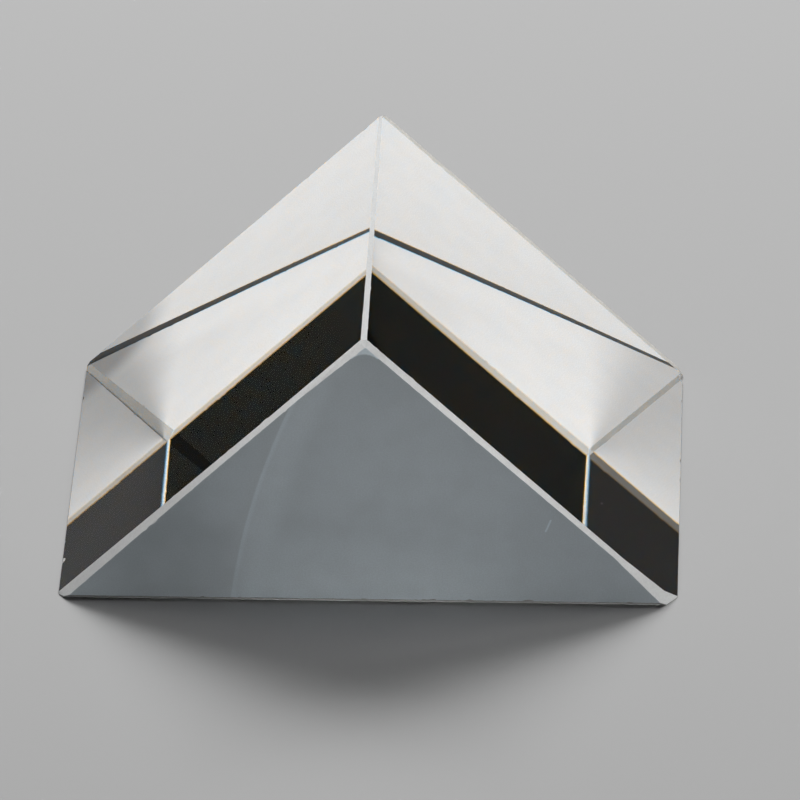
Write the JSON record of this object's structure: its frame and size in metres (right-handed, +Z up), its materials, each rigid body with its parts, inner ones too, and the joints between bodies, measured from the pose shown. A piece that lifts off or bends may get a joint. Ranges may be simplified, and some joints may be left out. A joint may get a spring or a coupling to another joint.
{
  "type": "right angle prism",
  "caption": "Solid glass right angle prism lying on its hypotenuse face, with polished leg faces, ground triangular ends and ground protective bevels.",
  "frame": {"origin": "middle of the hypotenuse face, on the surface that the prism rests on", "axes": "+Z up, square to the hypotenuse face; Y along the roof edge, with the front end face at -Y; X across the hypotenuse face"},
  "size_m": [0.0422, 0.03, 0.0211],
  "materials": {
    "crown_glass": "clear optical crown glass, polished on the hypotenuse and both legs, finely ground on the two triangular ends and on every bevel"
  },
  "bodies": {
    "root": {"prism": "crown_glass"}
  },
  "joints": []
}
